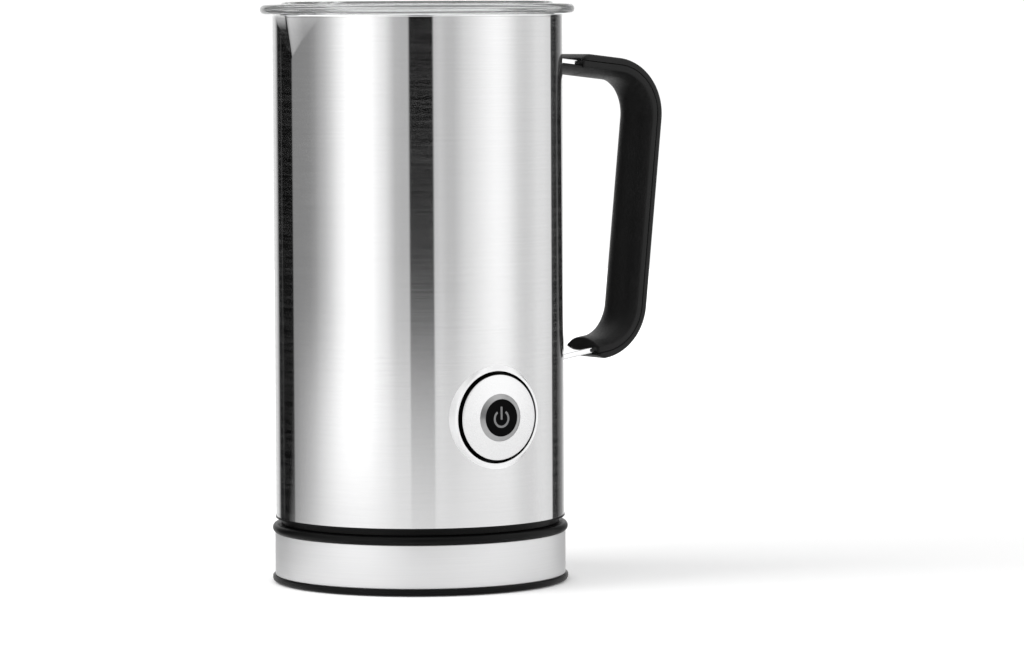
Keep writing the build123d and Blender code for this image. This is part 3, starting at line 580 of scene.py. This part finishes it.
def lid():
    bottom = lid_low.z
    outer = lid_high.y
    core = PLUG_RADIUS - SEAL_GROOVE
    profile = rounded([
        (0.0, FLANGE_BOTTOM, 0), (PLUG_INNER, FLANGE_BOTTOM, 1.2), (PLUG_INNER, bottom, 0.5),
        (PLUG_RADIUS, bottom, 0.5), (PLUG_RADIUS, seal_low.z, 0.1), (core, seal_low.z, 0.1),
        (core, seal_high.z, 0.1), (PLUG_RADIUS, seal_high.z, 0.1), (PLUG_RADIUS, FLANGE_BOTTOM, 0.6),
        (outer, FLANGE_BOTTOM, 1.6), (outer, FLANGE_TOP, 1.6), (46.3, FLANGE_TOP, 0.5),
        (RAISED_OUTER, lid_high.z, 0.5), (RAISED_INNER, lid_high.z, 0.6), (36.8, LID_FLOOR, 0.8),
        (0.0, LID_FLOOR, 0),
    ], steps=8)
    body = finish_mesh("lid_body", solid_shape(profile, steps=360), CLEAR, "lid", ["lid_cover"])
    section = rounded([(-3.2, BAR_ROOT, 0), (3.2, BAR_ROOT, 0), (2.9, lid_high.z - 0.1, 0.9),
                       (-2.9, lid_high.z - 0.1, 0.9)], steps=6)
    shape = bmesh.new()
    rows = new_rows(shape, [[(x, y, z) for y, z in section] for x in (-BAR_REACH, BAR_REACH)])
    skin(shape, rows, closed=False)
    shape.faces.new(list(reversed(rows[0])))
    shape.faces.new(rows[-1])
    bar = finish_mesh("lid_bar", shape, CLEAR, "lid")
    union = body.modifiers.new("bar", "BOOLEAN")
    union.operation = "UNION"
    union.solver = "EXACT"
    union.object = bar
    bpy.context.view_layer.update()
    depsgraph = bpy.context.evaluated_depsgraph_get()
    joined = bpy.data.meshes.new_from_object(body.evaluated_get(depsgraph), depsgraph=depsgraph)
    body.modifiers.clear()
    body.data = joined
    joined.set_sharp_from_angle(angle=radians(30))
    bpy.data.objects.remove(bar)
    low = seal_low.z
    rim = seal_high.y
    root = PLUG_RADIUS + 0.2
    seal = rounded([
        (core, low, 0.1), (root, low, 0.1), (rim, low + 0.5, 0.15), (root, low + 1.1, 0.1),
        (root, low + 1.7, 0.1), (rim, low + 2.2, 0.15), (root, low + 2.8, 0.1), (core, low + 2.8, 0.1),
    ], steps=4)
    finish_mesh("seal_ring", ring_shape(seal), SILICONE, "lid", ["lid_seal"])


# ------------------------------------------------------------------ handle


def on_line(start, end, x):
    share = (x - start[0]) / (end[0] - start[0])
    return (x, start[1] + share * (end[1] - start[1]))


def handle_points(top_x, low_x):
    start = on_line(HANDLE_CORNERS[0], HANDLE_CORNERS[1], top_x)
    end = on_line(HANDLE_CORNERS[2], HANDLE_CORNERS[3], low_x)
    top = HANDLE_CORNERS[1]
    low = HANDLE_CORNERS[2]
    first = corner_arc(start, top, low, HANDLE_BEND, 28)
    second = corner_arc(top, low, end, HANDLE_BEND, 28)
    points = [start] + first
    for step in range(1, 12):
        share = step / 12
        points.append((first[-1][0] + (second[0][0] - first[-1][0]) * share,
                       first[-1][1] + (second[0][1] - first[-1][1]) * share))
    return points + second + [end]


def handle_frames(top_x, low_x, end_radius=0.0):
    """Frames along the handle's outer face: point, across, outward and how far in from the end."""
    points = handle_points(top_x, low_x)
    frames = []
    for index, (x, z) in enumerate(points):
        before = points[max(0, index - 1)]
        after = points[min(len(points) - 1, index + 1)]
        along = Vector((after[0] - before[0], 0, after[1] - before[1])).normalized()
        out = Vector((-along.z, 0, along.x))
        frames.append((Vector((x, 0, z)), Vector((0, 1, 0)), out, end_radius))
    if not end_radius:
        return frames
    return end_frames(frames[0], 1, end_radius) + frames[1:-1] + end_frames(frames[-1], -1, end_radius)


def end_frames(frame, side, end_radius):
    """Extra frames within the end radius, from the end inward, or the other way at the far end."""
    point, across, out = frame[:3]
    along = Vector((out.z, 0, -out.x)) * side
    extra = []
    for step in range(9):
        depth = end_radius * (1 - cos(radians(90 * step / 8)))
        extra.append((point + along * depth, across, out, depth))
    return extra if side > 0 else extra[::-1]


def end_inset(depth, radius):
    """How far a rounded end pulls in at a depth from its tip."""
    share = max(0.0, 1 - depth / radius)
    return radius * (1 - sqrt(1 - min(1.0, share * share)))


def grip_cover_section(depth):
    """Cover, whose ends are rounded in plan and slope down to the strap."""
    inset = end_inset(depth, 1.6)
    half = GRIP_HALF - inset
    low = -GRIP_COVER + 0.05
    high = -0.72 * GRIP_COVER * max(0.0, 1 - depth / GRIP_TAPER) ** 1.6
    bend = min(1.5, 0.8 * (high - low))
    return rounded([(-half, low, 0.3), (-half, high, bend), (half, high, bend), (half, low, 0.3)], steps=8)


def belly_points(inset=0.0, count=24):
    """Convex inner face of the grip, from one edge to the other."""
    rise = GRIP_BELLY - GRIP_SIDE
    radius = (GRIP_HALF ** 2 + rise ** 2) / (2 * rise)
    points = []
    for step in range(count + 1):
        x = -GRIP_HALF + 2 * GRIP_HALF * step / count
        y = -GRIP_SIDE - (sqrt(radius ** 2 - x ** 2) - (radius - rise))
        points.append((x * (1 - inset / GRIP_HALF), y + inset))
    return points


def grip_pad_section(depth):
    inset = end_inset(depth, 0.8)
    half = GRIP_HALF - inset
    channel = STRAP_HALF + 0.05
    belly = belly_points(inset)
    top = -GRIP_COVER - 0.05
    side = -GRIP_SIDE + inset
    outline = corner_arc((0, top), (-half, top), (-half, side), 0.3, 5)
    outline += corner_arc((-half, top), (-half, side), belly[4], 0.9, 6)
    outline += belly[4:-4]
    outline += corner_arc(belly[-5], (half, side), (half, top), 0.9, 6)
    outline += corner_arc((half, side), (half, top), (0, top), 0.3, 5)
    outline += [(channel, top), (channel, -STRAP_INNER), (-channel, -STRAP_INNER), (-channel, top)]
    return outline


def tongue_section(depth):
    belly = belly_points(end_inset(depth, 1.2))
    return belly[1:-1] + [(belly[-2][0], -STRAP_INNER), (belly[1][0], -STRAP_INNER)]


def handle():
    shape = bmesh.new()
    sweep(shape, handle_frames(GRIP_TOP_X, GRIP_LOW_X, GRIP_TAPER), grip_cover_section)
    finish_mesh("grip_cover", shape, GRIP, "jug", ["handle_grip_outer"])
    shape = bmesh.new()
    sweep(shape, handle_frames(GRIP_TOP_X, GRIP_LOW_X, 0.8), grip_pad_section)
    start = on_line(HANDLE_CORNERS[0], HANDLE_CORNERS[1], PAD_TOP_X)
    end = on_line(HANDLE_CORNERS[0], HANDLE_CORNERS[1], GRIP_TOP_X + 2)
    along = Vector((end[0] - start[0], 0, end[1] - start[1])).normalized()
    out = Vector((-along.z, 0, along.x))
    frames = end_frames((Vector((start[0], 0, start[1])), Vector((0, 1, 0)), out, 0.0), 1, 1.2)
    frames.append((Vector((end[0], 0, end[1])), Vector((0, 1, 0)), out, 1.2))
    sweep(shape, frames, tongue_section)
    finish_mesh("grip_pad", shape, GRIP, "jug", ["handle_grip_inner"])
    section = rounded([
        (-STRAP_HALF, -STRAP_INNER, 0.45), (-STRAP_HALF, -STRAP_OUTER, 0.45),
        (STRAP_HALF, -STRAP_OUTER, 0.45), (STRAP_HALF, -STRAP_INNER, 0.45),
    ])
    shape = bmesh.new()
    sweep(shape, handle_frames(WALL_RADIUS - 0.7, WALL_RADIUS - 0.7), section)
    finish_mesh("strap_bar", shape, STRAP_STEEL, "jug", ["handle_strap"])


# ------------------------------------------------------------------ button


BEVEL_RADIUS = 7.9
BEVEL_RISE = 0.75
PLATE_EDGE = 1.35
PLATE_DOME = 1.1


def plate_height(radius):
    return PLATE_EDGE + PLATE_DOME * (1 - (radius / BUTTON_RADIUS) ** 2)


def button():
    """Slightly domed plate with a bevel that rises to the lens."""
    back = plate_high.y
    rim = [(radius, plate_height(radius)) for radius in (8.6, 9.5, 10.5, 11.5, 12.5, 13.3)]
    crest = plate_height(BEVEL_RADIUS) + BEVEL_RISE
    foot = crest - BEVEL_RISE
    bore = LENS_RADIUS + 0.02
    profile = [(bore, 0), (bore, crest), (BEVEL_RADIUS - 0.02, foot - 0.12), (BEVEL_RADIUS, foot)]
    profile += rim
    profile += corner_arc(rim[-1], (BUTTON_RADIUS, PLATE_EDGE), (BUTTON_RADIUS, 0), 0.3, 6)
    profile.append((BUTTON_RADIUS, 0))
    shape = ring_shape(profile, steps=256, place=facing_front(back))
    disc = finish_mesh("button_disc", shape, PLATE_STEEL, "button", ["button_plate"])
    # The bevel's faces take the darker steel, which is painted shade.
    disc.data.materials.append(BEVEL_SHADE_STEEL)
    # Painted shade: the steel plate's rim side takes the black plastic so that it reads as the dark gap
    # round the plate.
    disc.data.materials.append(BLACK)
    for polygon in disc.data.polygons:
        reach = hypot(polygon.center.x, polygon.center.z - BUTTON_Z * MM)
        if reach < (BEVEL_RADIUS - 0.015) * MM and polygon.center.y < (back - 0.3) * MM:
            polygon.material_index = 1
        elif reach > (BUTTON_RADIUS - 0.01) * MM:
            polygon.material_index = 2
    dome = 0.12
    front = crest + 0.05
    profile = [(0, -lens_high.y + back), (LENS_RADIUS, -lens_high.y + back), (LENS_RADIUS, front - dome)]
    profile += [(LENS_RADIUS * (1 - step / 8), front - dome * (1 - step / 8) ** 2) for step in range(1, 8)]
    profile.append((0, front))
    shape = solid_shape(profile, steps=128, place=facing_front(back))
    finish_mesh("lens_disc", shape, LENS, "button", ["button_lens"])
    symbol(back - front - 0.02)


def symbol(y):
    """Power symbol: an open ring and a bar, printed on the lens."""
    centre = BUTTON_Z - 0.28
    radius = 2.68
    half = 0.36
    gap = radians(36)
    loops = []
    for step in range(49):
        angle = pi / 2 + gap + (2 * pi - 2 * gap) * step / 48
        loops.append([(length * cos(angle), depth, centre + length * sin(angle))
                      for length, depth in ((radius - half, y + 0.1), (radius + half, y + 0.1),
                                            (radius + half, y), (radius - half, y))])
    shape = bmesh.new()
    rows = new_rows(shape, loops)
    skin(shape, rows, closed=False)
    shape.faces.new(list(reversed(rows[0])))
    shape.faces.new(rows[-1])
    bar = rounded([(-half, BUTTON_Z - 0.6, 0.1), (half, BUTTON_Z - 0.6, 0.1), (half, BUTTON_Z + 3.7, 0.1),
                   (-half, BUTTON_Z + 3.7, 0.1)])
    rows = new_rows(shape, [[(x, depth, z) for x, z in bar] for depth in (y + 0.1, y)])
    skin(shape, rows, closed=False)
    shape.faces.new(list(reversed(rows[0])))
    shape.faces.new(rows[-1])
    finish_mesh("power_symbol", shape, PRINT, "button")


# ------------------------------------------------------------------ cord outlet and whisk


def cord_outlet():
    z = (gland_low.z + gland_high.z) / 2
    length = gland_high.y - gland_low.y
    wall = band_high.y - gland_low.y
    profile = rounded([
        (3.6, 0, 0.2), (6.4, 0, 0.2), (6.4, 2.4, 0.3), (4.8, 2.6, 0.2), (4.8, wall + 0.05, 0),
        (6.4, wall + 0.05, 0.2), (6.3, wall + 1.5, 0.6), (5.0, wall + 1.7, 0.3), (4.8, length, 0.4),
        (3.6, length, 0.4),
    ])
    shape = ring_shape(profile, steps=96, place=facing_back(gland_low.y, z))
    finish_mesh("cord_bush", shape, RUBBER, "power_base", ["cord_gland"])


def whisk():
    low = hub_low.z
    high = hub_high.z
    outer = hub_high.x
    deck = low + 7.0
    profile = rounded([
        (2.65, low, 0.2), (outer, low, 0.9), (outer, deck - 1.6, 0.8), (outer - 1.6, deck, 0.8),
        (5.4, deck, 0.8), (4.4, deck + 1.6, 0.8), (4.2, high, 0.8), (2.65, high, 0.3),
    ])
    finish_mesh("whisk_disc", ring_shape(profile, steps=160), BLACK, "whisk", ["whisk_hub"])
    level = (wire_low.z + wire_high.z) / 2
    wire = (wire_high.z - wire_low.z) / 2
    ring = wire_high.x - wire
    shape = bmesh.new()
    circle = [(wire * cos(2 * pi * step / 12), wire * sin(2 * pi * step / 12)) for step in range(12)]
    frames = []
    for step in range(160):
        angle = 2 * pi * step / 160
        out = Vector((cos(angle), sin(angle), 0))
        frames.append((out * ring + Vector((0, 0, level)), out, Vector((0, 0, 1)), 0.0))
    sweep(shape, frames, circle, closed=True)
    for spoke in range(3):
        angle = 2 * pi * spoke / 3
        out = Vector((cos(angle), sin(angle), 0))
        side = Vector((-sin(angle), cos(angle), 0))
        spokes = [(out * length + Vector((0, 0, level)), side, Vector((0, 0, 1)), 0.0)
                  for length in (outer - 0.5, (outer + ring) / 2, ring - 0.3)]
        sweep(shape, spokes, circle)
    finish_mesh("whisk_ring", shape, WIRE_STEEL, "whisk", ["whisk_frame"])
    coil(level, ring)


def coil(level, ring):
    """One spring wound round the whisk's ring."""
    turns = 52
    wire = 0.34
    reach = (coil_high.z - coil_low.z) / 2 - 0.4
    per_turn = 20
    centres = []
    for step in range(turns * per_turn):
        around = 2 * pi * step / (turns * per_turn)
        twist = 2 * pi * step / per_turn
        length = ring + reach * cos(twist)
        centres.append(Vector((length * cos(around), length * sin(around), level + reach * sin(twist))))
    circle = [(wire * cos(2 * pi * step / 8), wire * sin(2 * pi * step / 8)) for step in range(8)]
    frames = []
    for index, centre in enumerate(centres):
        along = (centres[(index + 1) % len(centres)] - centres[index - 1]).normalized()
        around = 2 * pi * index / len(centres)
        hub = Vector((ring * cos(around), ring * sin(around), level))
        out = (centre - hub).normalized()
        out = (out - along * out.dot(along)).normalized()
        frames.append((centre, along.cross(out), out, 0.0))
    shape = bmesh.new()
    sweep(shape, frames, circle, closed=True)
    finish_mesh("whisk_coil", shape, WIRE_STEEL, "whisk", ["whisk_spring"])


# ------------------------------------------------------------------ CAD nodes that stay

CAD_FINISHES = (
    (BLACK, "base_bottom_cover base_top_cover base_connector jug_base_cover jug_connector button_carrier "
            "button_housing magnet_carrier motor_end_cap whisk_bush"),
    (RUBBER, "foot_ring rubber_dampers"),
    (BRASS, "base_contact_rings base_centre_contact jug_centre_contact jug_ring_contact commutator "
            "motor_bushes"),
    (ZINC, "base_screws base_cover_screws shell_tabs housing_studs housing_nuts board_screws "
           "motor_screws bracket_studs bracket_nuts motor_bracket motor_can temperature_sensor"),
    (ALUMINIUM, "heater_plate heater_element"),
    (IRON, "motor_rotor stator_magnets drive_magnets whisk_magnets"),
    (WIRE_STEEL, "motor_shaft"),
    (BOARD, "control_board"),
    (PART, "board_components button_switch switch_plunger thermostat"),
    (GUIDE, "light_guides status_leds"),
)


def finish_cad_nodes():
    for material, names in CAD_FINISHES:
        for name in names.split():
            node = frame["nodes"][name]
            for place in node.material_slots:
                place.material = material


# ------------------------------------------------------------------ studio

CAMERA_AZIMUTH = radians(-31.7)
CAMERA_DISTANCE = 1.558
CAMERA_HEIGHT = 0.1881
CAMERA_LENS = 161.7
CAMERA_YAW = radians(1.158)
CAMERA_PITCH = radians(3.70)
CAMERA_ROLL = radians(-0.28)


def camera():
    data = bpy.data.cameras.new("camera")
    data.lens = CAMERA_LENS
    data.sensor_width = 36.0
    data.clip_start = 0.05
    item = bpy.data.objects.new("camera", data)
    bpy.context.scene.collection.objects.link(item)
    place = Vector((CAMERA_DISTANCE * sin(CAMERA_AZIMUTH), -CAMERA_DISTANCE * cos(CAMERA_AZIMUTH),
                    CAMERA_HEIGHT))
    turn = Matrix.Rotation(CAMERA_AZIMUTH - CAMERA_YAW, 4, "Z")
    tilt = Matrix.Rotation(pi / 2 - CAMERA_PITCH, 4, "X")
    roll = Matrix.Rotation(CAMERA_ROLL, 4, "Z")
    item.matrix_world = Matrix.Translation(place) @ turn @ tilt @ roll
    bpy.context.scene.camera = item


# Studio round the object: (angle from the camera's direction in degrees, brightness). Soft boxes are
# bright and black flags are near 0. Angles are positive to the right. The stops are listed for
# the stripes that the wall mirrors to this camera, so they aren't a survey of a real studio.
LEFT_SIDE = (
    (-180, 1.3), (-168, 0.93), (-158, 0.90), (-152, 0.55), (-148, 0.02), (-141, 0.01), (-139.5, 0.08),
    (-138, 0.005), (-119.6, 0.005), (-118.4, 0.34), (-104, 0.35), (-96, 0.37), (-90, 0.45), (-86, 0.57),
    (-79, 0.76), (-73, 1.0), (-67, 1.30), (-60, 1.6), (-55, 1.8), (-42, 1.85), (-36, 1.62), (-31, 1.38),
    (-26, 1.20), (-21.5, 0.92), (-18, 0.72), (-12, 0.67), (-7.4, 0.68), (-6.6, 0.004), (0, 0.004),
)
RIGHT_SIDE = (
    (0, 0.004), (11.6, 0.004), (12.4, 0.80), (17, 0.88), (23, 0.76), (28, 0.76), (32, 0.87), (37, 1.03),
    (42, 1.13), (52, 1.35), (58, 1.46), (64, 1.53), (69, 1.50), (75, 1.40), (81, 1.20), (87, 1.01),
    (94, 0.95), (101, 1.0), (109, 1.12), (118, 1.12), (128, 1.0), (131.2, 0.98), (132, 0.06), (141, 0.01),
    (146, 0.12), (156, 0.34), (165, 0.74), (180, 1.3),
)
BRIGHTEST = 2.0


def side_ramp(tree, share, stops, start, end):
    ramp = add(tree, "ShaderNodeValToRGB")
    elements = ramp.color_ramp.elements
    while len(elements) < len(stops):
        elements.new(0.5)
    for index, (angle, level) in enumerate(stops):
        elements[index].position = (angle - start) / (end - start)
        value = level / BRIGHTEST
        elements[index].color = (value, value, value, 1)
    join(tree, share, ramp.inputs["Fac"])
    return ramp.outputs["Color"]


def maths(tree, operation, first, second=None, third=None):
    node = add(tree, "ShaderNodeMath", operation=operation)
    for index, value in enumerate((first, second, third)):
        if value is None:
            continue
        if isinstance(value, (int, float)):
            node.inputs[index].default_value = value
        else:
            join(tree, value, node.inputs[index])
    return node.outputs[0]


def studio():
    world = bpy.data.worlds.new("studio")
    world.use_nodes = True
    bpy.context.scene.world = world
    tree = world.node_tree
    tree.nodes.clear()
    place = add(tree, "ShaderNodeTexCoord")
    parts = add(tree, "ShaderNodeSeparateXYZ")
    join(tree, place.outputs["Generated"], parts.inputs["Vector"])
    angle = maths(tree, "ARCTAN2", parts.outputs["Y"], parts.outputs["X"])
    offset = pi / 2 - CAMERA_AZIMUTH
    turned = maths(tree, "WRAP", maths(tree, "ADD", angle, offset), pi, -pi)
    degrees_out = maths(tree, "MULTIPLY", turned, 180 / pi)
    left = side_ramp(tree, maths(tree, "DIVIDE", maths(tree, "ADD", degrees_out, 180.0), 180.0),
                     LEFT_SIDE, -180, 0)
    right = side_ramp(tree, maths(tree, "DIVIDE", degrees_out, 180.0), RIGHT_SIDE, 0, 180)
    choose = add(tree, "ShaderNodeMix", data_type="RGBA")
    join(tree, maths(tree, "GREATER_THAN", degrees_out, 0.0), choose.inputs["Factor"])
    join(tree, left, choose.inputs[6])
    join(tree, right, choose.inputs[7])
    ceiling = add(tree, "ShaderNodeMix", data_type="RGBA")
    rise = add(tree, "ShaderNodeMapRange", interpolation_type="SMOOTHSTEP")
    rise.inputs["From Min"].default_value = 0.55
    rise.inputs["From Max"].default_value = 0.85
    join(tree, parts.outputs["Z"], rise.inputs["Value"])
    join(tree, rise.outputs["Result"], ceiling.inputs["Factor"])
    join(tree, choose.outputs[2], ceiling.inputs[6])
    ceiling.inputs[7].default_value = (0.55, 0.55, 0.55, 1)
    around = add(tree, "ShaderNodeBackground")
    around.inputs["Strength"].default_value = BRIGHTEST
    join(tree, ceiling.outputs[2], around.inputs["Color"])
    behind = add(tree, "ShaderNodeBackground")
    behind.inputs["Color"].default_value = (1, 1, 1, 1)
    behind.inputs["Strength"].default_value = 1.05
    rays = add(tree, "ShaderNodeLightPath")
    mix = add(tree, "ShaderNodeMixShader")
    output = add(tree, "ShaderNodeOutputWorld")
    direct = maths(tree, "MAXIMUM", rays.outputs["Is Camera Ray"], rays.outputs["Is Transmission Ray"])
    join(tree, direct, mix.inputs[0])
    join(tree, around.outputs[0], mix.inputs[1])
    join(tree, behind.outputs[0], mix.inputs[2])
    join(tree, mix.outputs[0], output.inputs["Surface"])


def floor():
    """White paper that glows more with distance.

    It drops out of reflections with distance and away from the camera's side, so that the wall
    mirrors it only near its foot.
    """
    material, tree, shader = new_material("floor_paper")
    shader.inputs["Base Color"].default_value = (0.90, 0.90, 0.90, 1)
    shader.inputs["Roughness"].default_value = 0.9
    shader.inputs["Specular IOR Level"].default_value = 0.1
    shader.inputs["Emission Color"].default_value = (1, 1, 1, 1)
    place = add(tree, "ShaderNodeTexCoord")
    distance = add(tree, "ShaderNodeVectorMath", operation="LENGTH")
    join(tree, place.outputs["Object"], distance.inputs[0])
    glow = add(tree, "ShaderNodeMapRange")
    glow.inputs["From Min"].default_value = 0.30
    glow.inputs["From Max"].default_value = 1.20
    glow.inputs["To Min"].default_value = 0.08
    glow.inputs["To Max"].default_value = 0.45
    join(tree, distance.outputs["Value"], glow.inputs["Value"])
    join(tree, glow.outputs["Result"], shader.inputs["Emission Strength"])
    near = add(tree, "ShaderNodeMapRange")
    near.inputs["From Min"].default_value = 0.10
    near.inputs["From Max"].default_value = 1.60
    near.inputs["To Min"].default_value = 1.0
    near.inputs["To Max"].default_value = 0.0
    join(tree, distance.outputs["Value"], near.inputs["Value"])
    heading = add(tree, "ShaderNodeVectorMath", operation="NORMALIZE")
    join(tree, place.outputs["Object"], heading.inputs[0])
    front = add(tree, "ShaderNodeVectorMath", operation="DOT_PRODUCT")
    front.inputs[1].default_value = (sin(CAMERA_AZIMUTH), -cos(CAMERA_AZIMUTH), 0)
    join(tree, heading.outputs["Vector"], front.inputs[0])
    lit = add(tree, "ShaderNodeMath", operation="ADD", use_clamp=True)
    lit.inputs[1].default_value = 0.50
    join(tree, front.outputs["Value"], lit.inputs[0])
    seen = maths(tree, "MULTIPLY", near.outputs["Result"], lit.outputs[0])
    rays = add(tree, "ShaderNodeLightPath")
    unseen = maths(tree, "MULTIPLY", maths(tree, "SUBTRACT", 1.0, seen), rays.outputs["Is Glossy Ray"])
    gone = add(tree, "ShaderNodeBsdfTransparent")
    mix = add(tree, "ShaderNodeMixShader")
    output = tree.nodes["Material Output"]
    join(tree, unseen, mix.inputs[0])
    join(tree, shader.outputs[0], mix.inputs[1])
    join(tree, gone.outputs[0], mix.inputs[2])
    join(tree, mix.outputs[0], output.inputs["Surface"])
    shape = bmesh.new()
    bmesh.ops.create_circle(shape, cap_ends=True, radius=2000, segments=96)
    mesh = bpy.data.meshes.new("floor")
    bmesh.ops.scale(shape, vec=(MM, MM, MM), verts=shape.verts)
    shape.to_mesh(mesh)
    shape.free()
    mesh.materials.append(material)
    item = bpy.data.objects.new("floor", mesh)
    item.location.z = -0.00003
    bpy.context.scene.collection.objects.link(item)


def key_light():
    data = bpy.data.lights.new("key", "AREA")
    data.shape = "RECTANGLE"
    data.size = 0.9
    data.size_y = 0.7
    data.energy = 9.0
    item = bpy.data.objects.new("key", data)
    bpy.context.scene.collection.objects.link(item)
    left = Vector((-cos(CAMERA_AZIMUTH), -sin(CAMERA_AZIMUTH), 0))
    front = Vector((sin(CAMERA_AZIMUTH), -cos(CAMERA_AZIMUTH), 0))
    place = left * 0.95 + front * 0.25 + Vector((0, 0, 0.75))
    aim = Vector((0, 0, 0.08)) - place
    item.matrix_world = Matrix.Translation(place) @ aim.to_track_quat("-Z", "Y").to_matrix().to_4x4()
    item.visible_glossy = False
    item.visible_camera = False


jug_wall()
pot()
base()
lid()
handle()
button()
cord_outlet()
whisk()
finish_cad_nodes()
camera()
studio()
floor()
key_light()
bpy.context.scene.view_settings.view_transform = "Standard"
